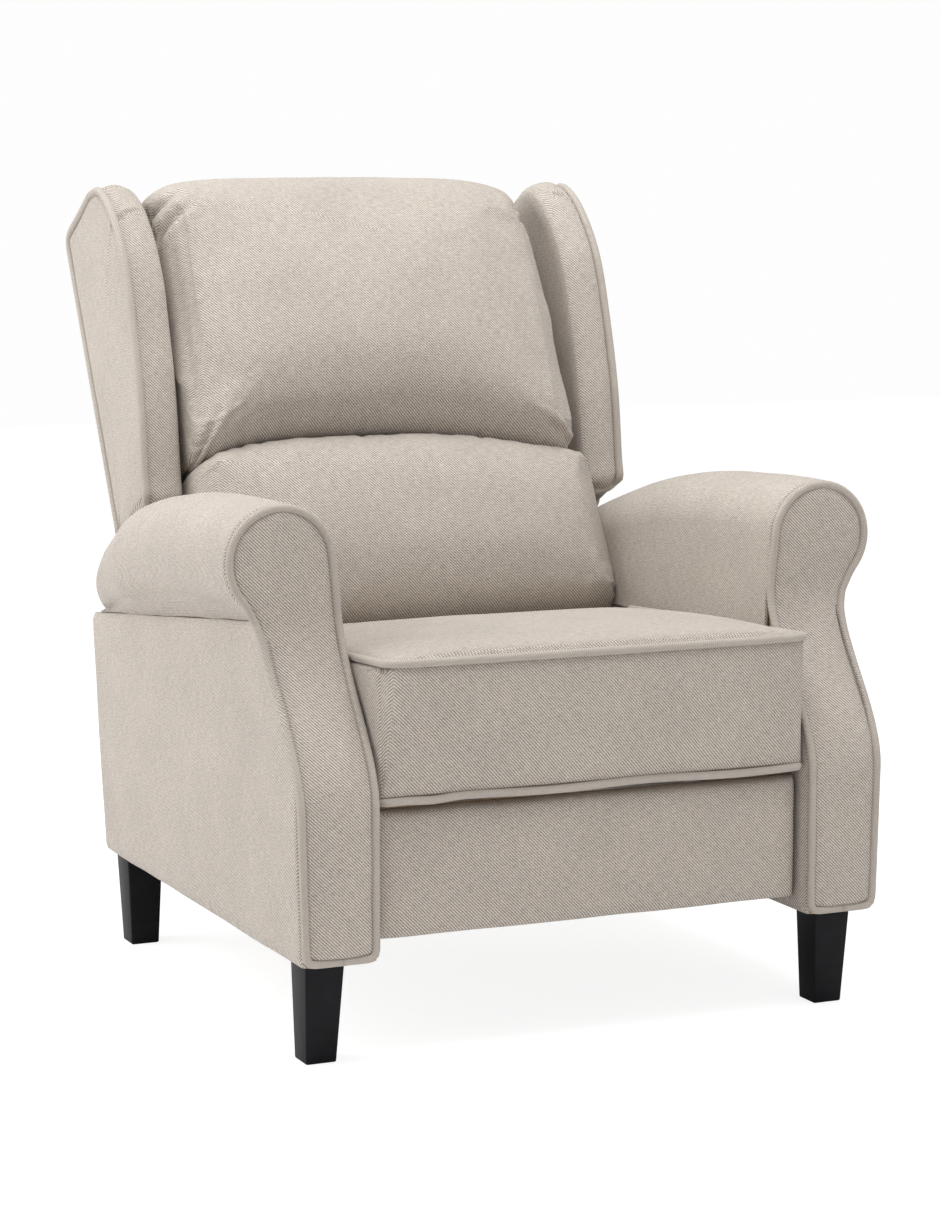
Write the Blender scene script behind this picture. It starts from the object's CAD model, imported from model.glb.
import bmesh
import bpy
import numpy as np
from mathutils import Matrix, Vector, noise


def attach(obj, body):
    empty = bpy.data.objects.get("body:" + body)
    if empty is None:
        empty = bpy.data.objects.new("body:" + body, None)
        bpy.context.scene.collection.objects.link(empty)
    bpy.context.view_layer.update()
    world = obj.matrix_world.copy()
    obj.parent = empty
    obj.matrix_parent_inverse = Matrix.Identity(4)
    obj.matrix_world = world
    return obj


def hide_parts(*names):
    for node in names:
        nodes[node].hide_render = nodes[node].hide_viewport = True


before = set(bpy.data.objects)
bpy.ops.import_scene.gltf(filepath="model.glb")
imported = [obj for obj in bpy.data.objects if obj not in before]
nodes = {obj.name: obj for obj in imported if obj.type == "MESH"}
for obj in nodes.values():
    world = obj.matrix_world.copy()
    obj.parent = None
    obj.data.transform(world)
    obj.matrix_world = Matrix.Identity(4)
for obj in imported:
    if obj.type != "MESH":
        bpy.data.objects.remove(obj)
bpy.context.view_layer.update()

scene = bpy.context.scene
scene.view_settings.view_transform = "Standard"


# The room: a pale floor and a white surround, as in a studio
# Soft boxes light the chair from the left, from above and low from the front.
def link(ob):
    scene.collection.objects.link(ob)
    return ob


def aimed(ob, at, to):
    ob.location = at
    ob.rotation_euler = (Vector(to) - Vector(at)).to_track_quat("-Z", "Y").to_euler()
    return link(ob)


camera_at, camera_looks_at = (-1.5986, -3.6375, 0.9839), (0.0, -0.0940, 0.4637)
camera = aimed(bpy.data.objects.new("camera", bpy.data.cameras.new("camera")), camera_at,
               camera_looks_at)
camera.data.lens = 93.0
camera.data.sensor_width = 36.0
scene.camera = camera

lit_point = (0.0, 0.0, 0.5)
for name, at, size, watts in (
        ("soft_box_left", (-2.9, 1.0, 1.8), 2.4, 68.0),
        ("soft_box_top", (-0.1, -0.5, 3.2), 2.4, 78.0),
        ("soft_box_front", (1.4, -3.5, 1.0), 1.6, 16.0)):
    lamp = bpy.data.lights.new(name, "AREA")
    lamp.size = size
    lamp.energy = watts
    aimed(bpy.data.objects.new(name, lamp), at, lit_point)


def give(node, sockets):
    """Sets sockets of a node; each takes a value or another node's output."""
    for key, value in sockets.items():
        if isinstance(value, bpy.types.NodeSocket):
            node.id_data.links.new(value, node.inputs[key])
        else:
            node.inputs[key].default_value = value


def node_in(tree, kind, sockets=(), **settings):
    """A new node with its settings and sockets."""
    made = tree.nodes.new(kind)
    for key, value in settings.items():
        setattr(made, key, value)
    give(made, dict(sockets))
    return made


def blank(name):
    paint = bpy.data.materials.new(name)
    paint.use_nodes = True
    return paint, paint.node_tree, paint.node_tree.nodes["Principled BSDF"]


# The surround looks white but lights the chair less than that, as a backdrop further off does.
surround = bpy.data.worlds.new("surround")
surround.use_nodes = True
seen = node_in(surround.node_tree, "ShaderNodeLightPath")
level = node_in(surround.node_tree, "ShaderNodeMapRange", {
    "Value": seen.outputs["Is Camera Ray"], "To Min": 0.44, "To Max": 0.985})
give(surround.node_tree.nodes["Background"],
     {"Color": (1.0, 1.0, 1.0, 1.0), "Strength": level.outputs[0]})
scene.world = surround

# Two sheets make the floor: a matt one that only returns light to the chair, and over it a
# glowing white one that only the camera sees, so the shadows stay faint.
reach = 9.0
for name, grey, glow, height in (("floor", 0.9, 0.0, -0.001), ("floor_sheet", 0.32, 0.845, 0.0)):
    floor_paint, tree, shader = blank(f"{name}_paint")
    give(shader, {"Base Color": (grey, grey, grey, 1.0), "Roughness": 0.95,
                  "Emission Color": (1.0, 1.0, 1.0, 1.0), "Emission Strength": glow})
    floor_mesh = bpy.data.meshes.new(name)
    floor_mesh.from_pydata([(-reach, -reach, height), (reach, -reach, height),
                            (reach, reach, height), (-reach, reach, height)],
                           [], [(0, 1, 2, 3)])
    floor_mesh.materials.append(floor_paint)
    floor = link(bpy.data.objects.new(name, floor_mesh))
    floor.visible_camera = bool(glow)
    floor.visible_diffuse = floor.visible_glossy = floor.visible_shadow = not glow


# Base: two rails of solid wood between the arms, and the plywood frames inside the arms
# Sawn boards with a faint grain, glued and screwed, and left bare because the cover hides them.
def maths(tree, operation, a, b=0.0, c=0.0):
    return node_in(tree, "ShaderNodeMath", {0: a, 1: b, 2: c}, operation=operation).outputs[0]


def effect(name, inputs, outputs):
    """An empty node group with named number sockets."""
    tree = bpy.data.node_groups.new(name, "ShaderNodeTree")
    for label, value in inputs:
        tree.interface.new_socket(label, in_out="INPUT",
                                  socket_type="NodeSocketFloat").default_value = value
    for label in outputs:
        tree.interface.new_socket(label, in_out="OUTPUT", socket_type="NodeSocketFloat")
    return tree, tree.nodes.new("NodeGroupInput"), tree.nodes.new("NodeGroupOutput")


def two_tone(tree, factor, dark, light):
    """Colour between two tones by a factor over the surface."""
    # a mix node keeps its colours in sockets 6 and 7, and gives their mix in output 2
    ramp = node_in(tree, "ShaderNodeMix", {0: factor, 6: (*dark, 1.0), 7: (*light, 1.0)},
                   data_type="RGBA")
    return ramp.outputs[2]


# Wood grain along X, in stretched noise
grain, g_in, g_out = effect("wood_grain", [("Along", 9.0), ("Across", 160.0)], ["Tone", "Height"])
at = node_in(grain, "ShaderNodeSeparateXYZ",
             {0: grain.nodes.new("ShaderNodeTexCoord").outputs["Object"]})
stretched = node_in(grain, "ShaderNodeCombineXYZ", {
    "X": maths(grain, "MULTIPLY", at.outputs[0], g_in.outputs["Along"]),
    "Y": maths(grain, "MULTIPLY", at.outputs[1], g_in.outputs["Across"]),
    "Z": maths(grain, "MULTIPLY", at.outputs[2], g_in.outputs["Across"])})
streaks = node_in(grain, "ShaderNodeTexNoise",
                  {"Vector": stretched.outputs[0], "Scale": 1.0, "Detail": 5.0})
give(g_out, {"Tone": streaks.outputs["Fac"], "Height": streaks.outputs["Fac"]})


def bare_wood(name, dark, light):
    paint, tree, shader = blank(name)
    group = node_in(tree, "ShaderNodeGroup", node_tree=grain)
    bump = node_in(tree, "ShaderNodeBump", {
        "Strength": 0.3, "Distance": 0.0004, "Height": group.outputs["Height"]})
    give(shader, {"Base Color": two_tone(tree, group.outputs["Tone"], dark, light),
                  "Normal": bump.outputs[0], "Roughness": 0.72})
    return paint


def finish_nodes(paint, *names):
    """Gives a finish to CAD pieces that are shown as they are."""
    for name in names:
        nodes[name].data.materials.clear()
        nodes[name].data.materials.append(paint)


def both(*names):
    return [f"{name}_{side}" for name in names for side in ("left", "right")]


pine = bare_wood("pine_boards", (0.34, 0.22, 0.12), (0.62, 0.45, 0.27))
finish_nodes(pine, "rail_front", "rail_rear", "seat_frame", "back_frame", "footrest_board")
finish_nodes(bare_wood("plywood_sides", (0.42, 0.30, 0.18), (0.66, 0.51, 0.34)),
             *both("arm_frame"))


# Legs: four square tapered legs of hardwood, stained near black and lacquered
# They are screwed under the corners of the arm frames, and their edges are eased by sanding.
middle_y = 93.985


def solid(name, points, faces, paint, eased=0.0):
    """A mesh from points in the CAD's millimetres. The frame's origin lies middle_y behind
    the CAD's own. The edges are rounded by eased."""
    placed = (np.asarray(points, float) - (0, middle_y, 0)) / 1000
    mesh = bpy.data.meshes.new(name)
    mesh.from_pydata(placed.tolist(), [], faces)
    work = bmesh.new()
    work.from_mesh(mesh)
    bmesh.ops.recalc_face_normals(work, faces=list(work.faces))
    if eased:
        bmesh.ops.bevel(work, geom=list(work.edges), offset=eased / 1000, segments=3,
                        profile=0.5, affect="EDGES")
    work.to_mesh(mesh)
    work.free()
    mesh.materials.append(paint)
    mesh.polygons.foreach_set("use_smooth", [True] * len(mesh.polygons))
    return link(bpy.data.objects.new(name, mesh))


ebony, tree, shader = blank("ebony_lacquer")
group = node_in(tree, "ShaderNodeGroup", {"Along": 60.0, "Across": 120.0}, node_tree=grain)
stain = two_tone(tree, group.outputs["Tone"], (0.003, 0.003, 0.004), (0.010, 0.010, 0.013))
bump = node_in(tree, "ShaderNodeBump", {
    "Strength": 0.12, "Distance": 0.0003, "Height": group.outputs["Height"]})
give(shader, {"Base Color": stain, "Normal": bump.outputs[0], "Roughness": 0.4,
              "Specular IOR Level": 0.14, "Coat Weight": 0.03, "Coat Roughness": 0.25})

leg_h, leg_top, leg_foot, leg_out = 122.0, 48.0, 37.0, 354.0
leg_front_y, leg_rear_y, inner_share = -312.0, 325.0, 0.6
slope = leg_top - leg_foot
for side, mark in (("left", -1), ("right", 1)):
    for end, y, way in (("front", leg_front_y, -1), ("rear", leg_rear_y, 1)):
        foot = [(leg_out - leg_top + inner_share * slope, leg_out - (1 - inner_share) * slope),
                (y - leg_top / 2 + (slope if way < 0 else 0),
                 y + leg_top / 2 - (slope if way > 0 else 0))]
        head = [(leg_out - leg_top, leg_out), (y - leg_top / 2, y + leg_top / 2)]
        corners = [(mark * x, yy, z) for (xs, ys), z in ((foot, 0.0), (head, leg_h))
                   for yy in ys for x in xs]
        leg = solid(f"leg_cover_{end}_{side}", corners,
                    [(0, 1, 3, 2), (4, 5, 7, 6), (0, 1, 5, 4), (2, 3, 7, 6),
                     (0, 2, 6, 4), (1, 3, 7, 5)], ebony, eased=2.2)
        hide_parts(f"leg_{end}_{side}")
        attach(leg, "base")


# Linkage on each side: stamped steel plates and bars on riveted pins, and two cross tubes
# Zinc plated and passivated, so the grey is cloudy, with duller patches where it was handled.
def plated(name, dark, light, rough):
    paint, tree, shader = blank(name)
    spots = node_in(tree, "ShaderNodeTexNoise", {
        "Vector": tree.nodes.new("ShaderNodeTexCoord").outputs["Object"],
        "Scale": 70.0, "Detail": 6.0, "Roughness": 0.65})
    dull = node_in(tree, "ShaderNodeMapRange", {"Value": spots.outputs["Fac"],
                                                "To Min": rough - 0.1, "To Max": rough + 0.12})
    bump = node_in(tree, "ShaderNodeBump", {
        "Strength": 0.15, "Distance": 0.0002, "Height": spots.outputs["Fac"]})
    give(shader, {"Base Color": two_tone(tree, spots.outputs["Fac"], dark, light),
                  "Roughness": dull.outputs[0], "Normal": bump.outputs[0], "Metallic": 1.0})
    return paint


finish_nodes(plated("zinc_plated_steel", (0.20, 0.21, 0.23), (0.42, 0.43, 0.45), 0.42),
             "seat_tube", "lift_tube",
             *both("base_plate", "swing_front", "swing_rear", "seat_plate", "back_bracket",
                   "lift_link", "guide_link", "carrier", "upper_link", "footrest_bracket"))
finish_nodes(plated("spring_wire", (0.30, 0.31, 0.33), (0.58, 0.58, 0.60), 0.36), "seat_springs")

webbing, tree, shader = blank("black_webbing")
ribs = node_in(tree, "ShaderNodeTexWave", {
    "Vector": tree.nodes.new("ShaderNodeTexCoord").outputs["Object"],
    "Scale": 130.0, "Distortion": 0.6}, bands_direction="Z")
black = two_tone(tree, ribs.outputs["Fac"], (0.02, 0.02, 0.02), (0.07, 0.07, 0.07))
give(shader, {"Base Color": black, "Roughness": 0.8})
finish_nodes(webbing, "back_webbing")


# Arms: plywood frames in a padded cover of linen-look twill
# A roll tops each arm, an outside panel wraps round its rear, and a facing bends back under the
# roll. The cover is stapled to the frame, and piping in the same cloth runs round the facing.
weave, w_in, w_out = effect(
    "cloth_weave", [("Pitch", 2.8), ("Slub", 1.0), ("Lean", 1.0)], ["Tone", "Height"])
spot = weave.nodes.new("ShaderNodeTexCoord")
mm = node_in(weave, "ShaderNodeVectorMath", {0: spot.outputs["Object"], 3: 1000.0},
             operation="SCALE")
at = node_in(weave, "ShaderNodeSeparateXYZ", {0: mm.outputs[0]})
facing_way = node_in(weave, "ShaderNodeVectorMath", {0: spot.outputs["Normal"]},
                     operation="ABSOLUTE")
way = node_in(weave, "ShaderNodeSeparateXYZ", {0: facing_way.outputs[0]})
sideways = maths(weave, "GREATER_THAN", way.outputs[0],
                 maths(weave, "MAXIMUM", way.outputs[1], way.outputs[2]))
upward = maths(weave, "GREATER_THAN", way.outputs[2],
               maths(weave, "MAXIMUM", way.outputs[0], way.outputs[1]))


def either(tree, mask, no, yes):
    """The value yes where the mask is 1, and no where it is 0."""
    return maths(tree, "MULTIPLY_ADD", mask, maths(tree, "SUBTRACT", yes, no), no)


across = either(weave, sideways, at.outputs[0], at.outputs[1])
along = either(weave, upward, at.outputs[2], at.outputs[1])
wander = node_in(weave, "ShaderNodeTexNoise", {
    "Vector": spot.outputs["Object"], "Scale": 45.0, "Detail": 2.0})
shift = maths(weave, "MULTIPLY", wander.outputs["Fac"], 1.5)
# 4.4429 is root 2 times pi, so that ribs at 45 degrees lie one pitch apart
turn = maths(weave, "DIVIDE", 4.4429, w_in.outputs["Pitch"])


def ridge(tree, a, b, sign):
    """Sine of a line at 45 degrees through the cloth, from -1 to 1."""
    slant = maths(tree, "MULTIPLY_ADD", maths(tree, "MULTIPLY", b, sign), 1.0, a)
    return maths(tree, "SINE", maths(tree, "MULTIPLY_ADD", slant, turn, shift))


rib = ridge(weave, across, along, w_in.outputs["Lean"])
cut = ridge(weave, across, along, maths(weave, "MULTIPLY", w_in.outputs["Lean"], -1.0))
twill = maths(weave, "MULTIPLY_ADD", maths(weave, "MULTIPLY", rib, cut), 0.25,
              maths(weave, "MULTIPLY", rib, 0.75))


def yarns(tree, a, b, long, thin):
    """Uneven yarns: noise drawn out along one way of the cloth."""
    at = node_in(tree, "ShaderNodeCombineXYZ", {
        "X": maths(tree, "DIVIDE", a, long), "Y": maths(tree, "DIVIDE", b, thin), "Z": 0.0})
    drawn = node_in(tree, "ShaderNodeTexNoise", {
        "Vector": at.outputs[0], "Scale": 1.0, "Detail": 2.0, "Roughness": 0.6})
    return drawn.outputs["Fac"]


weft = yarns(weave, across, along, 11.0, 1.5)
warp = yarns(weave, along, across, 14.0, 1.8)
weft_slub = maths(weave, "MULTIPLY", maths(weave, "SUBTRACT", weft, 0.5), 2.6)
warp_slub = maths(weave, "MULTIPLY", maths(weave, "SUBTRACT", warp, 0.5), 1.7)
slubs = maths(weave, "MULTIPLY", maths(weave, "ADD", weft_slub, warp_slub), w_in.outputs["Slub"])
tone = maths(weave, "ADD", maths(weave, "MULTIPLY", twill, 1.1),
             maths(weave, "MULTIPLY", slubs, 0.6))
give(w_out, {"Tone": maths(weave, "MULTIPLY_ADD", tone, 0.5, 0.5),
             "Height": maths(weave, "MULTIPLY_ADD", twill, 0.6, slubs)})

# Broad unevenness of a cover: faint clouds where the nap lies differently
cloud, c_in, c_out = effect("cover_cloud", [("Size", 14.0)], ["Cloud"])
puffs = node_in(cloud, "ShaderNodeTexNoise", {
    "Vector": cloud.nodes.new("ShaderNodeTexCoord").outputs["Object"],
    "Scale": c_in.outputs["Size"], "Detail": 3.0})
give(c_out, {"Cloud": puffs.outputs["Fac"]})


def cloth(name, dark, light, slub=1.0, lean=1.0, pitch=2.8):
    """Linen-look twill in two yarn tones."""
    paint, tree, shader = blank(name)
    threads = node_in(tree, "ShaderNodeGroup", {"Pitch": pitch, "Slub": slub, "Lean": lean},
                      node_tree=weave)
    haze = node_in(tree, "ShaderNodeGroup", node_tree=cloud)
    colour = two_tone(tree, threads.outputs["Tone"], dark, light)
    level = node_in(tree, "ShaderNodeMapRange", {
        "Value": haze.outputs["Cloud"], "From Min": 0.3, "From Max": 0.7,
        "To Min": 0.955, "To Max": 1.03})
    shaded = node_in(tree, "ShaderNodeHueSaturation", {
        "Color": colour, "Value": level.outputs[0]})
    bump = node_in(tree, "ShaderNodeBump", {
        "Strength": 0.5, "Distance": 0.0004, "Height": threads.outputs["Height"]})
    give(shader, {"Base Color": shaded.outputs[0], "Normal": bump.outputs[0], "Roughness": 0.93,
                  "Specular IOR Level": 0.25, "Sheen Weight": 0.12, "Sheen Roughness": 0.5})
    return paint


dark_yarn, light_yarn = (0.20, 0.175, 0.151), (0.72, 0.651, 0.581)
linen = cloth("linen_twill", dark_yarn, light_yarn)
piping = cloth("linen_piping", (0.31, 0.273, 0.236), (0.61, 0.551, 0.492), slub=0.6, lean=-1.0,
               pitch=1.9)


def ease(t):
    t = np.clip(t, 0.0, 1.0)
    return t * t * (3 - 2 * t)


def rows(count, wrap):
    """Faces between neighbouring points of a count[0] by count[1] grid."""
    n, m = count
    return [(j * m + i, j * m + (i + 1) % m, (j + 1) * m + (i + 1) % m, (j + 1) * m + i)
            for j in range(n - 1) for i in range(m if wrap else m - 1)]


def quilt(name, front, back, paint):
    """A closed pad: a front grid of points and a back grid, sewn together at the border."""
    front, back = np.asarray(front, float), np.asarray(back, float)
    n, m = front.shape[:2]
    size = n * m
    faces = rows((n, m), False)
    faces += [tuple(size + i for i in reversed(face)) for face in rows((n, m), False)]
    border = (list(range(m)) + [j * m + m - 1 for j in range(1, n)]
              + [(n - 1) * m + i for i in range(m - 2, -1, -1)]
              + [j * m for j in range(n - 2, 0, -1)])
    faces += [(a, b, b + size, a + size)
              for a, b in zip(border, border[1:] + border[:1])]
    return solid(name, np.concatenate([front.reshape(-1, 3), back.reshape(-1, 3)]), faces,
                 paint)


def loft(name, rings, paint):
    """A closed skin over rings of points, with flat ends."""
    rings = np.asarray(rings, float)
    n, m = rings.shape[:2]
    faces = rows((n, m), True) + [tuple(range(m)), tuple((n - 1) * m + i for i in range(m))]
    return solid(name, rings.reshape(-1, 3), faces, paint)


def resample(line, step=None, count=None):
    """The same line with evenly spaced points, about a step apart or as many as count."""
    line = np.asarray(line, float)
    gone = np.concatenate([[0], np.cumsum(np.linalg.norm(np.diff(line, axis=0), axis=1))])
    places = np.linspace(0, gone[-1], count or max(3, int(round(gone[-1] / step)) + 1))
    return np.stack([np.interp(places, gone, line[:, k]) for k in range(line.shape[1])], 1)


def rounded(line, passes=2):
    """The line with its corners cut, ends kept."""
    line = np.asarray(line, float)
    for _ in range(passes):
        a, b = line[:-1], line[1:]
        mid = np.stack([0.75 * a + 0.25 * b, 0.25 * a + 0.75 * b], 1).reshape(-1, line.shape[1])
        line = np.concatenate([line[:1], mid, line[-1:]])
    return line


def pipe(name, line, radius, paint, step=6.0, sides=10):
    """Piping: a cord under cloth along a line, with closed ends."""
    line = resample(rounded(line), step)
    tangent = np.gradient(line, axis=0)
    tangent /= np.linalg.norm(tangent, axis=1)[:, None]
    # any direction that no line of piping starts in gives the first side of the ring
    side = np.cross(tangent[0], (0.31, 0.17, 0.93))
    rings = []
    for point, way in zip(line, tangent):
        side = side - way * (side @ way)
        side /= np.linalg.norm(side)
        other = np.cross(way, side)
        angles = np.linspace(0, 2 * np.pi, sides, endpoint=False)
        rings.append(point + radius * (np.cos(angles)[:, None] * side
                                       + np.sin(angles)[:, None] * other))
    return loft(name, rings, paint)


def mirrored(points, mark):
    return np.asarray(points, float) * (mark, 1, 1)


def rumple(ob, depth, size, seed=0.0, mask=None):
    """Slight unevenness of a padded cover: points move along their normals, in millimetres."""
    normals = [v.normal.copy() for v in ob.data.vertices]
    for i, v in enumerate(ob.data.vertices):
        p = v.co * 1000 / size + Vector((seed, seed * 1.7, 0))
        push = noise.noise(p) + 0.5 * noise.noise(p * 2.1)
        v.co += normals[i] * push * depth / 1000 * (1 if mask is None else mask[i])
    return ob


def points_of(ob):
    """The points of a cover in the CAD's millimetres."""
    return np.array([v.co for v in ob.data.vertices]) * 1000 + (0, middle_y, 0)


def crease(ob, flat, line, width, depth, lip, ends, where):
    """A tuck sewn or pulled into a cover along a line, with a soft swelling, the lip, beside
    it. The function flat turns points in millimetres into the two coordinates that the line
    is drawn in, and where tells which points can move; ends gives the share of the depth at
    the start and the end of the line."""
    co = points_of(ob)
    normal = np.array([v.normal for v in ob.data.vertices])
    spot, line = flat(co), resample(line, 1.0)
    far = 5 * width
    near = np.where((spot > line.min(0) - far).all(1) & (spot < line.max(0) + far).all(1)
                    & where(co))[0]
    gap = np.linalg.norm(spot[near, None] - line[None], axis=2)
    run = gap.argmin(1) / (len(line) - 1)
    gap = gap.min(1) / width
    share = ends[0] + (ends[1] - ends[0]) * ease(run)
    move = share * (lip * np.exp(-(gap - 2.2) ** 2) - depth * np.exp(-gap ** 2))
    for i, m in zip(near, move):
        ob.data.vertices[i].co += Vector(normal[i] * m / 1000)
    ob.data.update()
    return ob


arm_in, arm_out, arm_front, arm_rear = 276.0, 370.0, 370.0, 350.0
roll_x, roll_r, arm_h = 350.0, 67.0, 632.0
roll_front, roll_rear = -262.0, 368.0
seam_front, seam_rear = 500.0, 434.0
panel_t, rear_lean, side_lean, inside_top = 8.0, 14.0, 9.0, 433.0
panel_low = leg_h + 0.5
# the facing bends back over bend_h above bend_low, by bend_back
bend_low, bend_h, bend_back = 295.0, 215.0, 108.0


def face_y(z):
    return -arm_front + bend_back * ease((z - bend_low) / bend_h)


def front_edge(z):
    """Where a side panel meets the facing, further back where the facing slopes."""
    t = np.clip((z - bend_low) / bend_h, 0, 1)
    return face_y(z) + 3 + 5.4 * np.sqrt(1 + (6 * t * (1 - t) * bend_back / bend_h) ** 2)


def seam_z(y):
    return seam_front + (seam_rear - seam_front) * (y - roll_front) / (
        arm_rear + rear_lean - roll_front)


def roll_top(y):
    fall, power = 112, 2.84
    return arm_h - fall * np.clip((y - roll_front) / (arm_rear - roll_front), 0, None) ** power


def out_x(z):
    return arm_out + side_lean * (z - leg_h) / (seam_front - leg_h)


def rear_y(z):
    return arm_rear + rear_lean * (z - leg_h) / (seam_rear - leg_h)


def arc(centre, radius, start, end, count):
    angles = np.radians(np.linspace(start, end, count))
    return np.stack([centre[0] + radius * np.cos(angles),
                     centre[1] + radius * np.sin(angles)], 1)


def arm_line(margin):
    """Front view of the facing: up the outside, over the roll and down the inside."""
    outer, inner = ((arm_out, leg_h), (374.6, 300), (378, 440), (381.5, 487)), arm_in + margin
    return np.concatenate([
        [(x - margin, z) for x, z in outer],
        arc((roll_x, arm_h - roll_r), roll_r - margin, -44, 180, 34),
        [(inner + 3, 530), (inner, 488), (inner, 440), (inner, 300), (inner, leg_h)]])


def rolled_in(gap, width=0.03):
    """From 1 at the edge of a panel to 0 at a small width from there."""
    return (1 - min(1, gap / width)) ** 2


# rounding of the rear corner, depth of the outside and the inside cover, and the piping
corner, cover_t, inside_t, facing_cord_r = 9.0, 6.5, 7.0, 4.8
side_points, corner_points, rear_points = 50, 7, 9
# the roll narrows from here to its rear, and closes over the last stretch
narrow_from, narrowing, end_round, end_close = 150.0, 22.5, 20.5, 0.30
# foot of the facing's cloth, and how far it stays inside the outline of the arm
facing_low, fold = leg_h + 9, 8.5

for side, mark in (("left", -1), ("right", 1)):
    # Outside panel, from the facing round the rear corner to the inside
    heights = np.concatenate([[0, 0.004, 0.012], np.linspace(0.03, 0.97, 44), [0.988, 0.996, 1]])
    sheet, lining = [], []
    for t in heights:
        level_z = panel_low + t * (seam_z(-100.0) - panel_low)
        x, start, end = out_x(level_z), front_edge(level_z), rear_y(level_z)
        plan = np.concatenate([
            [(x - 3.5, start), (x - 1.2, start + 1.2), (x, start + 4)],
            np.stack([np.full(side_points, x),
                      np.linspace(start + 8, end - corner - 4, side_points)], 1),
            arc((x - corner, end - corner), corner, 0, 90, corner_points),
            np.stack([np.linspace(x - corner - 4, arm_in + panel_t + 2, rear_points),
                      np.full(rear_points, end)], 1)])
        drop = 3.0 * rolled_in(t) + 4.5 * rolled_in(1 - t)
        run = (plan[:, 1] - start) / (end - start)
        puff = 4.5 * np.sin(np.pi * np.clip(run, 0, 1)) ** 0.7 * np.sin(np.pi * t) ** 0.7
        on_side = np.arange(len(plan)) < 4 + side_points + corner_points // 2
        z = panel_low + t * (seam_z(plan[:, 1]) - panel_low)
        sheet.append(np.stack([plan[:, 0] + np.where(on_side, puff - drop, 0),
                               plan[:, 1] - np.where(on_side, 0, drop), z], 1))
        lining.append(np.stack([
            np.minimum(plan[:, 0], x - 0.5) - np.where(on_side, cover_t, 0),
            np.minimum(plan[:, 1], end - 0.5) - np.where(on_side, 0, cover_t), z], 1))
    panel = quilt(f"outside_cover_{side}", mirrored(sheet, mark), mirrored(lining, mark), linen)
    rumple(panel, depth=1.1, size=120, seed=3.0)

    # Inside panel
    grid = []
    for t in np.linspace(0, 1, 24):
        z = panel_low + t * (inside_top - panel_low)
        start, length = front_edge(z), rear_y(z) - corner - front_edge(z)
        grid.append([(arm_in + 2.5 * rolled_in(min(s, 1 - s, t, 1 - t)), start + s * length, z)
                     for s in np.linspace(0, 1, 40)])
    inside = quilt(f"inside_cover_{side}", mirrored(grid, mark),
                   mirrored(np.array(grid) * (0, 1, 1) + (arm_in + inside_t, 0, 0), mark), linen)

    # Roll: it tapers to the rear, bellies over its outer seam, and its cover runs on down the
    # inside of the arm to below the top of the seat
    rings = []
    start, length = roll_front + 8, roll_rear - roll_front - 8
    for t in np.concatenate([[0, 0.004, 0.01], np.linspace(0.02, 0.955, 74),
                             [0.966, 0.974, 0.981, 0.987, 0.992, 0.996, 0.9985, 1]]):
        y = start + t * length
        seam, top = seam_z(y) + 0.3, roll_top(y)
        r = roll_r - narrowing * max(0, (y - narrow_from) / (roll_rear - narrow_from))
        c = np.array([roll_x - roll_r + r, top - r])
        under = -np.degrees(np.arcsin(min(np.sin(np.radians(54)), (c[1] - seam - 4) / r)))
        lip = min(out_x(seam_front) - 4.5, c[0] + r - 5)
        low = min(inside_top + 1.0, seam - 0.5)
        outer_side = arc(c, r, under, 174, 56)
        inner_side = [(arm_in + 1 + (c[0] - r - arm_in) * k ** 1.6, low + (c[1] - low) * k)
                      for k in (0.8, 0.62, 0.46, 0.32, 0.2, 0.1, 0.03)]
        q = max(0, (y - roll_rear + end_round) / end_round)
        shrink = 1 - end_close * (1 - np.sqrt(max(0.0, 1 - q * q)))
        foot = np.array([c[0], seam])
        section = np.concatenate([
            [(lip, seam + 0.5)], outer_side, inner_side, [(arm_in + 0.6, low), (arm_in + 5, low)],
            [(arm_in + 7.5, seam)], np.stack([np.linspace(arm_in + 20, lip - 14, 8),
                                              np.full(8, seam)], 1)])
        section = foot + (section - foot) * np.where(section[:, 1:] > seam, shrink, 1)
        front = 2.2 * (1 - min(1, (y - start) / 6)) ** 2
        inner = c + (section - c) * (1 - front / roll_r)
        section = np.where(section[:, 1:] > seam + 2, inner, section)
        rings.append(np.stack([section[:, 0], np.full(len(section), y), section[:, 1]], 1))
    roll = loft(f"roll_cover_{side}", mirrored(rings, mark), linen)
    rumple(roll, depth=1.4, size=95, seed=7.0)
    # a tuck where the cover turns over the rear of the roll, and slack over the seam
    for line, width, depth in ((((286, 522), (283, 506), (270, 492), (250, 478)), 4.5, 3.0),
                               (((270, 545), (284, 528), (288, 520)), 5.0, 1.6),
                               (((-235, 520), (-190, 508), (-120, 503)), 9.0, 1.3),
                               (((60, 500), (120, 486), (200, 470)), 9.0, 1.2)):
        crease(roll, lambda p: p[:, 1:], line, width, depth, lip=0.4 * depth, ends=(0.9, 0.5),
               where=lambda p: p[:, 0] * mark > roll_x)

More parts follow.
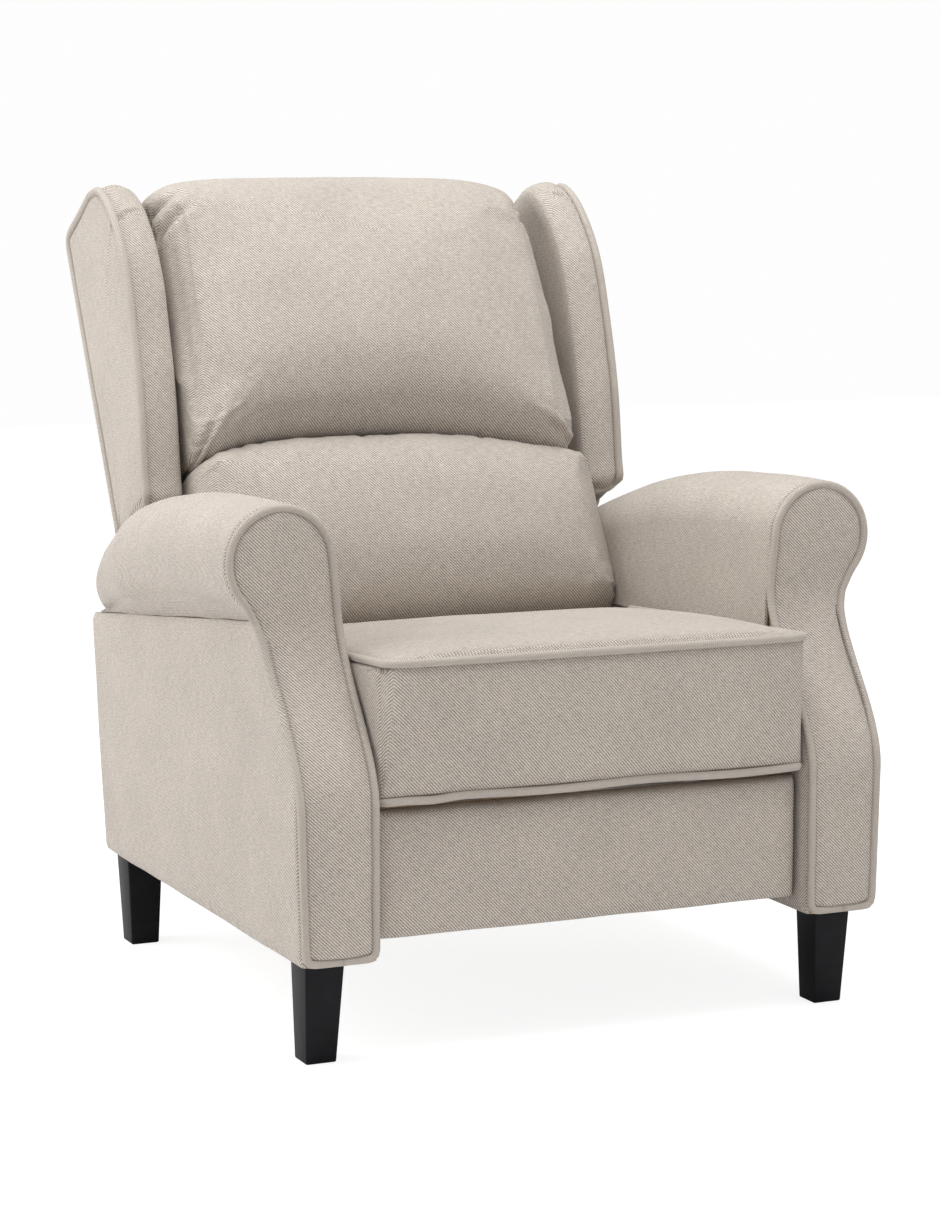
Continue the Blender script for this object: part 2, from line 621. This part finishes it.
    # Facing: rows from the foot to the top of the roll
    line = resample(rounded(arm_line(fold), 1), 2.0)
    peak = line[:, 1].argmax()
    outer, inner = line[:peak + 1], line[peak:][::-1]
    levels = np.concatenate([
        facing_low + np.array([0, 0.6, 1.6, 3.2, 5.5]),
        np.linspace(facing_low + 9, arm_h - roll_r - 5, 68),
        arm_h - roll_r + (roll_r - fold - 0.7) * np.sin(np.linspace(0, np.pi / 2, 18))])
    columns = np.linspace(-1, 1, 21)
    face, behind = [], []
    for z in levels:
        xo, xi = np.interp(z, outer[:, 1], outer[:, 0]), np.interp(z, inner[:, 1], inner[:, 0])
        half, mid = (xo - xi) / 2, (xo + xi) / 2
        shares = np.sign(columns) * np.abs(columns) ** 0.85
        top_edge = np.clip((line[:, 1].max() - z) / 12, 0, 1)
        belly = (1 - np.abs(shares) ** 3.0) * (0.35 + 0.65 * np.sqrt(top_edge))
        foot_edge = 4.0 * rolled_in(z - facing_low, 6)
        y = face_y(z) + 3.2 - 6.0 * belly + foot_edge
        face.append(np.stack([mid + half * shares, y, np.full(len(columns), z)], 1))
        behind.append(np.stack([mid + (half + 0.5) * shares,
                                np.full(len(columns), face_y(z) + 7.8),
                                np.full(len(columns), z)], 1))
    facing = quilt(f"facing_cover_{side}", mirrored(face, mark), mirrored(behind, mark), linen)
    rumple(facing, depth=0.7, size=70, seed=11.0)

    # Piping round the facing, sewn on down one side, round the foot and up again
    line, bend, foot = resample(rounded(arm_line(5), 1), 5.0), 9.0, leg_h + 4.9
    start, end = line[0, 0], line[-1, 0]
    line = line[line[:, 1] > foot + bend + 3]
    middle = (start + end) / 2
    line = np.concatenate([[(middle, foot), ((start + middle) / 2, foot)],
                           arc((start - bend, foot + bend), bend, -90, 0, 6), line,
                           arc((end + bend, foot + bend), bend, 180, 270, 6),
                           [((end + middle) / 2, foot), (middle, foot)]])
    cord = pipe(f"facing_piping_{side}",
                mirrored([(x, face_y(z) + 3, z) for x, z in line], mark), facing_cord_r,
                piping)

    for piece, node, fill in ((panel, "arm_outside", 0.3), (inside, "arm_inside", 0.3),
                              (roll, "arm_roll", 0.8), (facing, "arm_facing", 0.5)):
        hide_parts(f"{node}_{side}")
        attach(piece, "base")
    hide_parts(f"arm_welt_{side}")
    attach(cord, "base")


# Seat cushion: a foam block in a boxed cover over the sprung seat frame
# The top is crowned and dips to the rear, the front boxing is stapled under the front board,
# and piping is sewn into the top seam and along the lower edge of the boxing.
seat_front, seat_rear, seat_edge_h, seat_rear_h = 383.0, 96.0, 460.0, 436.0
seat_low_h, seat_under, seat_half, seat_corner = 302.0, 25.0, 269.0, 25.0
board_face, board_low, seat_base, seat_tail = -346.5, 340.0, 375.3, 154.0
seat_rise, seat_drop, seat_cord_r = 22.0, 7.5, 4.9


def full(s):
    return 1 - np.abs(s) ** 2.5


def spread(end, count):
    """Shares from -1 to 1 that lie closer together at both ends."""
    return np.sin(np.linspace(-1, 1, count) * end) / np.sin(end)


def corner_back(x):
    d = np.clip(np.abs(x) - seat_half + seat_corner, 0, seat_corner)
    return seat_corner - np.sqrt(seat_corner ** 2 - d * d)


def seat_edge_y(s):
    return corner_back(s * seat_half) - seat_front + 4 * (1 - full(s))


def skirt_back(y):
    return min(seat_under, board_face - 11.5 - y)


def crown(s):
    return 1 - np.abs(s) ** 6


def fill_out(ob, held, most, push=3.0, frames=20):
    """Blows a sewn cover up as its filling does: a cloth simulation from the flat shape, with
    the held points fixed and no point moving further than most, in millimetres."""
    rest = np.array([v.co for v in ob.data.vertices])
    group = ob.vertex_groups.new(name="held")
    for i, weight in enumerate(held):
        if weight > 0:
            group.add([i], float(weight), "REPLACE")
    swell = ob.modifiers.new("swell", "CLOTH")
    stuff = swell.settings
    stuff.quality = 5
    stuff.mass = 0.25
    stuff.tension_stiffness = stuff.compression_stiffness = 18
    stuff.shear_stiffness = 8
    stuff.bending_stiffness = 0.35
    stuff.vertex_group_mass = "held"
    stuff.use_pressure = True
    stuff.uniform_pressure_force = push
    stuff.effector_weights.gravity = 0
    swell.collision_settings.use_collision = False
    swell.point_cache.frame_start, swell.point_cache.frame_end = 1, frames
    for step in range(1, frames + 1):
        scene.frame_set(step)
    shown = ob.evaluated_get(bpy.context.evaluated_depsgraph_get())
    after = np.array([v.co for v in shown.data.vertices])
    ob.modifiers.remove(swell)
    scene.frame_set(1)
    move = after - rest
    far = np.linalg.norm(move, axis=1)
    move *= np.where(far > 1e-9, np.tanh(far / (most / 1000)) * (most / 1000)
                     / np.maximum(far, 1e-9), 0)[:, None]
    ob.data.vertices.foreach_set("co", (rest + move).ravel())
    ob.data.update()
    return ob


top_points, skirt_points = 50, 18
rings, held = [], []
for s in spread(np.pi / 2 * 0.92, 67):
    x, y0 = s * seat_half, seat_edge_y(s)
    under = skirt_back(y0)
    drop = seat_drop * ease((abs(s) - 0.958) / 0.035)
    top = np.linspace(0, 1, top_points) ** 1.15
    rise = seat_rise * crown(s) * np.sin(np.pi * np.sqrt(top)) ** 0.8
    upper = np.stack([y0 + 6 + (seat_rear - y0 - 6) * top,
                      seat_edge_h + 1 + (seat_rear_h - seat_edge_h) * top + rise - drop], 1)
    t = np.linspace(0, 1, skirt_points)
    skirt = np.stack([y0 + under * 0.9 * (1 - np.sin(np.radians(30 + 60 * t))) / 0.5
                      - 2.5 * np.sin(np.pi * t) * full(s),
                      seat_low_h + 6 + (seat_edge_h - 6.5 - seat_low_h - 6) * t], 1)
    section = np.concatenate([
        [(seat_tail, seat_base), (seat_tail, seat_base + 12), (seat_tail - 6, seat_base + 34)],
        upper[::-1], [(y0 + 3.2, seat_edge_h - 3.2 - drop)], skirt[::-1],
        [(y0 + under + 6, seat_low_h + 1), (board_face, seat_low_h + 2),
         (board_face, board_low), (board_face, seat_base), (-230, seat_base),
         (-100, seat_base), (30, seat_base)]])
    rings.append(np.stack([np.full(len(section), x), section[:, 0], section[:, 1]], 1))
    # the seams and the hidden faces are held, and the top and the skirt are free to swell
    weight = np.concatenate([np.ones(3), 1 - np.sin(np.pi * top[::-1]) ** 0.35, np.ones(1),
                             1 - np.sin(np.pi * t[::-1]) ** 0.5])
    weight = np.append(weight, np.ones(len(section) - len(weight)))
    held.append(np.maximum(weight, ease((abs(s) - 0.93) / 0.07)))
# the sides of the boxing swell out towards the arms
side_middle = np.array((-150.0, 415.0))
for bulge, shrink in ((1.6, 0.994), (3.0, 0.982), (4.0, 0.96), (4.6, 0.92)):
    for end, at in ((0, 0), (-1, len(rings))):
        ring = rings[end].copy()
        ring[:, 1:] = side_middle + (rings[end][:, 1:] - side_middle) * shrink
        ring[:, 0] = np.sign(ring[:, 0]) * (seat_half + bulge)
        rings.insert(at, ring)
        held.insert(at, np.ones(len(ring)))
cushion = loft("seat_cushion_cover", rings, linen)
held = np.concatenate(held)
fill_out(cushion, held, most=8.0)
rumple(cushion, depth=1.2, size=110, seed=5.0, mask=1 - held)
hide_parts("seat_cushion")
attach(cushion, "seat")

# right half of the front edge, seen from above, and then of the side
half = [(s * seat_half, seat_edge_y(s)) for s in np.linspace(0, 0.9, 14)]
turn_x = seat_half - seat_corner
half += [(turn_x + seat_corner * np.sin(a), 4 - seat_front + seat_corner * (1 - np.cos(a)))
         for a in np.radians(np.linspace(5, 90, 12))]
tail = [(seat_half, y) for y in np.linspace(half[-1][1] + 20, seat_rear - 12, 16)]
run = half + tail
upper = [(x, y, seat_edge_h + 0.6 + (seat_rear_h - seat_edge_h)
          * max(0, (y + seat_front) / (seat_rear + seat_front))) for x, y in run]
top_piping = pipe("seat_top_piping",
                  [(-x, y, z) for x, y, z in reversed(upper[1:])] + upper, seat_cord_r, piping)
lower = [(x, y + 0.9 * skirt_back(y), seat_low_h) for x, y in half[:-3]]
lower += [(turn_x + seat_corner + 0.5, lower[-1][1] + 7, seat_low_h),
          (turn_x + seat_corner + 1, lower[-1][1] + 22, seat_low_h)]
lower = [(-x, y, z) for x, y, z in reversed(lower[1:])] + lower
# the lower edge hangs free, so it waves a little
lower = [(x, y, z + 1.3 * np.sin(x / 39) - 2.6 * np.exp(-((x + 208) / 22) ** 2))
         for x, y, z in resample(lower, 8.0)]
low_piping = pipe("seat_low_piping", lower, seat_cord_r, piping)
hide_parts("seat_welt")
for cord in (top_piping, low_piping):
    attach(cord, "seat")


# Back: a hardwood frame behind a lumbar pillow and a head pillow, between two padded wings
# The pillows are cushions of fibre in sewn covers. The upper one hangs over the lower one, and
# both are pulled in at their sides, where they are sewn down to the frame.
lean = np.radians(28.3)
hinge_y, hinge_z = 250.0, 330.0
cover_front, post_front, pillow_back = 5.0, -35.0, -37.6
pillow_half, pillow_rear = 276.0, 400.0


def up_the_back(points):
    """Points given as across, square to the back and up the back from the hinge."""
    p = np.asarray(points, float)
    return np.stack([p[..., 0],
                     hinge_y + p[..., 2] * np.sin(lean) + p[..., 1] * np.cos(lean),
                     hinge_z + p[..., 2] * np.cos(lean) - p[..., 1] * np.sin(lean)], -1)


def from_the_back(p):
    """Across and up the back, of points in millimetres: the reverse of up_the_back."""
    return np.stack([p[:, 0], (p[:, 1] - hinge_y) * np.sin(lean)
                     + (p[:, 2] - hinge_z) * np.cos(lean)], 1)


def out_of_back(p):
    return (p[:, 1] - hinge_y) * np.cos(lean) - (p[:, 2] - hinge_z) * np.sin(lean)


def curve(points, count):
    """A smooth curve through the points, as count evenly spaced points."""
    p = np.asarray(points, float)
    p = np.concatenate([[2 * p[0] - p[1]], p, [2 * p[-1] - p[-2]]])
    out = []
    for i in range(1, len(p) - 2):
        a, b, c, d = p[i - 1:i + 3]
        for t in np.linspace(0, 1, 16, endpoint=False):
            out.append(0.5 * (2 * b + (c - a) * t + (2 * a - 5 * b + 4 * c - d) * t * t
                              + (3 * b - a - 3 * c + d) * t ** 3))
    return resample([*out, p[-2]], count=count)


def pillow(name, profile, count, side_depth, side_share, half_low, half_high, low, high,
           shift=0.0):
    """Profile: points as (depth, share of the height) from the lower rear round the front to
    the upper rear, in the middle; low and high: heights up the back, across the pillow; the
    parts deeper than side_depth flatten towards the sides, where side_share of the depth is
    left; half_low and half_high: half widths; shift: how far the pillow lies to one side."""
    rings, held = [], []
    section = curve(profile, count)
    for s in spread(np.pi / 2 * 0.9, 71):
        edge = np.clip((abs(s) - 0.84) / 0.16, 0, 1)
        rim = (1 - edge ** 2.4) ** (1 / 2.4)
        depth = section[:, 0]
        depth = np.where(depth > side_depth, side_depth + (depth - side_depth) * full(s), depth)
        depth = depth * (side_share + (1 - side_share) * rim)
        tall = section[:, 1]
        squeeze = 0.5 + (tall - 0.5) * (0.93 + 0.07 * rim)
        u = low(s) + (high(s) - low(s)) * squeeze
        half = half_low + (half_high - half_low) * np.clip(tall, 0, 1)
        rings.append(np.stack([s * half + shift, pillow_back - depth, u], 1))
        held.append(np.clip(1.25 - depth / (0.8 * section[:, 0].max()), 0, 1))
    return loft(name, up_the_back(rings), linen), np.concatenate(held)


def finer(ob):
    """The same cover with four faces for each one, for folds smaller than its own mesh."""
    ob.modifiers.new("finer", "SUBSURF").levels = 1
    shown = ob.evaluated_get(bpy.context.evaluated_depsgraph_get())
    mesh = bpy.data.meshes.new_from_object(shown)
    ob.modifiers.clear()
    ob.data = mesh
    return ob


def gathers(ob, reach, depth):
    """Small pulls in the front of a pillow beside the crease under the head pillow."""
    co = points_of(ob)
    normals = [v.normal.copy() for v in ob.data.vertices]
    for i, (x, u) in enumerate(from_the_back(co)):
        fade = 1 - abs(u - head_low(x / pillow_half)) / reach
        if fade > 0 and co[i, 1] < pillow_rear:
            pull = noise.noise(Vector((x / 13, u / 60, 3.0)))
            ob.data.vertices[i].co += normals[i] * float(pull * depth * fade / 1000)
    ob.data.update()
    return ob


def head_low(s):
    """The crease: it drops towards both sides, and a little further on the right."""
    return 258 + 42 * (1 - s ** 4) - 15 * np.sin(2.8 * max(s, 0) ** 2)


def head_high(s):
    return 684 - 24 * abs(s) ** 6


lumbar, held = pillow(
    "lumbar_pillow_cover",
    [(0, 0.02), (60, -0.005), (110, 0.02), (145, 0.12), (165, 0.30), (171, 0.50), (168, 0.70),
     (157, 0.86), (137, 0.965), (108, 1.005), (60, 1.0), (0, 0.97)],
    count=84, side_depth=146, side_share=0.74, half_low=280, half_high=281,
    low=lambda s: 34.0, high=lambda s: head_low(s) - 6 + 11 * s ** 4)
fill_out(lumbar, held, most=9.0)
rumple(lumbar, depth=1.5, size=90, seed=21.0)
gathers(finer(lumbar), reach=40, depth=3.0)

head, held = pillow(
    "head_pillow_cover",
    [(0, 0.03), (60, 0.005), (105, -0.005), (132, 0.015), (152, 0.05), (173, 0.10), (186, 0.16),
     (196, 0.27), (199, 0.40), (196, 0.52), (188, 0.64), (175, 0.765), (150, 0.895),
     (118, 0.975), (75, 1.005), (0, 0.985)],
    count=104, side_depth=166, side_share=0.8, half_low=269, half_high=265,
    low=head_low, high=head_high, shift=-9.0)
fill_out(head, held, most=12.0)
rumple(head, depth=1.6, size=100, seed=33.0)
gathers(finer(head), reach=50, depth=3.0)
# tucks at the corners, where the cover is drawn in, and folds that run out of the crease
for line, width, depth in (
        (((-286, 612), (-273, 622), (-262, 628), (-240, 637)), 6.0, 9.0),
        (((-284, 572), (-271, 588), (-259, 598), (-236, 607)), 5.0, 11.0),
        (((-290, 622), (-273, 632), (-262, 648)), 3.5, 4.0),
        (((-290, 382), (-278, 386), (-262, 394), (-248, 403)), 4.5, 7.0),
        (((-284, 250), (-272, 270), (-257, 299), (-248, 316)), 4.5, 7.0),
        (((-264, 258), (-256, 279), (-246, 300)), 3.5, 5.0),
        (((290, 638), (262, 632), (247, 624), (240, 612)), 4.0, 6.0),
        (((290, 616), (262, 608), (249, 600), (240, 590)), 4.0, 6.0),
        (((276, 452), (256, 456), (243, 460), (227, 469)), 4.5, 8.0),
        (((268, 262), (258, 269), (234, 276), (206, 290)), 4.5, 5.0)):
    crease(head, from_the_back, line, width, depth, lip=0.35 * depth, ends=(1.0, 0.25),
           where=lambda p: out_of_back(p) < -60)

for piece, node in ((lumbar, "lumbar_pillow"), (head, "head_pillow")):
    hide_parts(node)
    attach(piece, "back")


# Wings: boxed pads on both sides of the back, piped along their outer edge
# Each is a plywood blade bolted to the post of the back, with foam over it in a sewn cover.
wing_in, wing_t, wing_cord_r = 290.0, 53.0, 5.2
# heights up the back, and how far the wing stands forward at its foot, middle and top
wing_low, wing_top, low_d, mid_d, top_d = 236.0, 666.0, 125.0, 202.0, 144.0
front = curve([(-low_d + 15, wing_low - 13), (-low_d - 1, wing_low - 4),
               (-low_d - 11, wing_low + 26), (0.55 * -mid_d - 0.45 * low_d, wing_low + 110),
               (12 - mid_d, wing_top - 224), (-mid_d, wing_top - 134),
               (15 - mid_d, wing_top - 62), (-top_d - 12, wing_top - 14),
               (22 - top_d, wing_top)], 240)
front[:, 0] += cover_front
outline = np.concatenate([
    front, curve([(-top_d + 30, wing_top + 1), (-60, wing_top), (cover_front - 14, wing_top - 1),
                  (cover_front - 1, wing_top - 12)], 26),
    curve([(cover_front, wing_top - 30), (cover_front, wing_low)], 60),
    curve([(cover_front - 2, wing_low - 12), (cover_front - 12, wing_low - 17),
           (-60, wing_low - 15), (-94, wing_low - 15)], 20)])
tangent = np.roll(outline, -1, 0) - np.roll(outline, 1, 0)
tangent /= np.linalg.norm(tangent, axis=1)[:, None]
inward = np.stack([tangent[:, 1], -tangent[:, 0]], 1)
middle = np.array((-85.0, 450.0))
# the boxing is fuller where it turns over the top, and its lower outer corner is drawn up
over_top = 5.0 * np.exp(-((outline[:, 1] - wing_top) / 35) ** 2)
at_foot = 9.0 * np.exp(-((outline[:, 1] - front[0, 1]) / 13) ** 2) * (outline[:, 0] < -50)
pleats = {"left": (((-337, 507), (-322, 510), (-305, 503)),
                   ((-337, 411), (-320, 424), (-299, 433))),
          "right": (((298, 545), (309, 541), (320, 530)), ((311, 470), (324, 462), (337, 450)))}


def along_boxing(p):
    return np.stack([p[:, 0], from_the_back(p)[:, 1] + out_of_back(p)], 1)


# the right wing of the real chair stands a little taller than the left one
for side, mark, rise in (("left", -1, 3.0), ("right", 1, 9.0)):
    taller = rise * ease((outline[:, 1] - 520) / 130)
    rings = []
    # across the wing, from behind the pillows to its outer edge
    for x, inset, depth_share in (
            (-24, 11, 0.2), (-8, 11, 0.2), (-5, 11, 0.92), (-3.5, 9, 1), (-2, 7, 1), (0, 5, 1),
            (3, 3, 1), (7, 1.2, 1), (12, 0.1, 1), (16, -0.7, 1), (19, -1.2, 1), (22, -1.6, 1),
            (25, -1.8, 1), (28, -1.9, 1), (31, -1.7, 1), (34, -1.3, 1), (37, -0.7, 1),
            (40, 0, 1), (44, 1.2, 1), (46.5, 3.2, 1), (48, 6.0, 1), (49.5, 7.5, 1),
            (50.6, 10.5, 1)):
        puff = over_top * np.sin(np.pi * np.clip((x + 4) / 54, 0, 1)) ** 0.8
        ring = outline + inward * (inset - puff)[:, None]
        ring[:, 1] += taller + at_foot * np.clip((x - 28) / 20, 0, 1) ** 2
        w = cover_front + (ring[:, 0] - cover_front) * depth_share
        rings.append(np.stack([np.full(len(ring), wing_in + x), w, ring[:, 1]], 1))
    last = rings[-1]
    for share in (0.9, 0.75, 0.55, 0.3, 0.08):
        ring = last.copy()
        ring[:, 1:] = middle + (last[:, 1:] - middle) * share
        ring[:, 0] = last[:, 0] + 2.4 * (1 - share ** 2)
        rings.append(ring)
    wing = loft(f"wing_cover_{side}", mirrored(up_the_back(rings), mark), linen)
    rumple(wing, depth=1.0, size=90, seed=41.0)
    # two small pleats where the boxing turns over the top
    for line in pleats[side]:
        crease(wing, along_boxing, line, width=2.8, depth=6.0, lip=1.6, ends=(1.0, 0.4),
               where=lambda p: out_of_back(p) < -110)
    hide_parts(f"wing_{side}")
    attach(wing, "back")
    # its lower end curls in under the wing
    w, u = outline[0]
    line = [(wing_in + 12, w + 3, u - 1), (wing_in + 26, w + 1, u), (wing_in + 37, w, u + 2.5),
            (wing_in + 45, w - 2, u + 9)]
    line += [(wing_in + wing_t - 5, w, u + up)
             for (w, u), up in list(zip(outline, taller))[9:-20]]
    cord = pipe(f"wing_piping_{side}", mirrored(up_the_back(line), mark), wing_cord_r, piping)
    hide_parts(f"wing_welt_{side}")
    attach(cord, "back")


# Rear of the back: a plain cover over the frame, and a boxed strip along the top
# The cover is tacked to the frame under its edges, and a flap closes the back below it.
pad_front, pad_rear, pad_edge = 5.5, 10.0, 6.0

panels = []
for name, half, low, high, puff in (("rear_cover", 332.5, 222, 665, 3.0),
                                    ("rear_flap", 253, -21, 220, 2.0)):
    sx, su = np.meshgrid(np.linspace(0, 1, 40), np.linspace(0, 1, 40))
    edge = np.minimum(np.minimum(sx, 1 - sx) * 2 * half, np.minimum(su, 1 - su) * (high - low))
    swell = puff * (np.sin(np.pi * sx) * np.sin(np.pi * su)) ** 0.6
    drop = 3.0 * (1 - np.clip(edge / pad_edge, 0, 1)) ** 2
    x, u = half * (2 * sx - 1), low + (high - low) * su
    outer = up_the_back(np.stack([x, pad_rear + swell - drop, u], -1))
    inner = up_the_back(np.stack([x, np.full_like(x, pad_front), u], -1))
    piece = quilt(name, outer, inner, linen)
    rumple(piece, depth=1.0, size=120, seed=51.0)
    panels.append(piece)
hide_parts("back_panel")
outer = curve([(post_front, 640), (post_front + 1, 655), (post_front + 6, 666),
               (-12, 669.5), (cover_front - 8, 668), (cover_front - 1, 660), (cover_front, 640)], 22)
strip_half = 265.5
strip = loft("top_strip", up_the_back([[(x, w, u) for w, u in outer]
                                       for x in np.linspace(-strip_half, strip_half, 50)]), linen)
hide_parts("back_top")
for piece in (*panels, strip):
    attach(piece, "back")


# Footrest: a board in a padded cover, which hangs under the seat until the chair is leaned on
# The cover is stapled to the rear of the board, and the board is screwed to two brackets.
rest_half, rest_low, rest_high, rest_front, rest_t = 272.0, 140.0, 288.0, 350.0, 28.0
rest_edge, rest_crown = 16.0, 2.5
rest_middle, rest_half_h = (rest_low + rest_high) / 2, (rest_high - rest_low) / 2
sx, sz = np.meshgrid(spread(1.45, 61), spread(1.4, 29))
rim = (1 - np.abs(sx) ** 26) ** 0.4 * (1 - np.abs(sz) ** 12) ** 0.4
swell = rest_crown * np.cos(sx * 1.5) * np.cos(sz * 1.5)
pad_face = np.stack([sx * rest_half, -rest_front + rest_edge * (1 - rim) - swell,
                     rest_middle + sz * rest_half_h], -1)
pad_back = np.stack([sx * (rest_half - 1), np.full_like(sx, rest_t - rest_front - 0.4),
                     rest_middle + sz * (rest_half_h - 1)], -1)
pad = quilt("footrest_cover", pad_face, pad_back, linen)
rumple(pad, depth=1.1, size=90, seed=61.0)
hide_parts("footrest_pad")
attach(pad, "footrest")
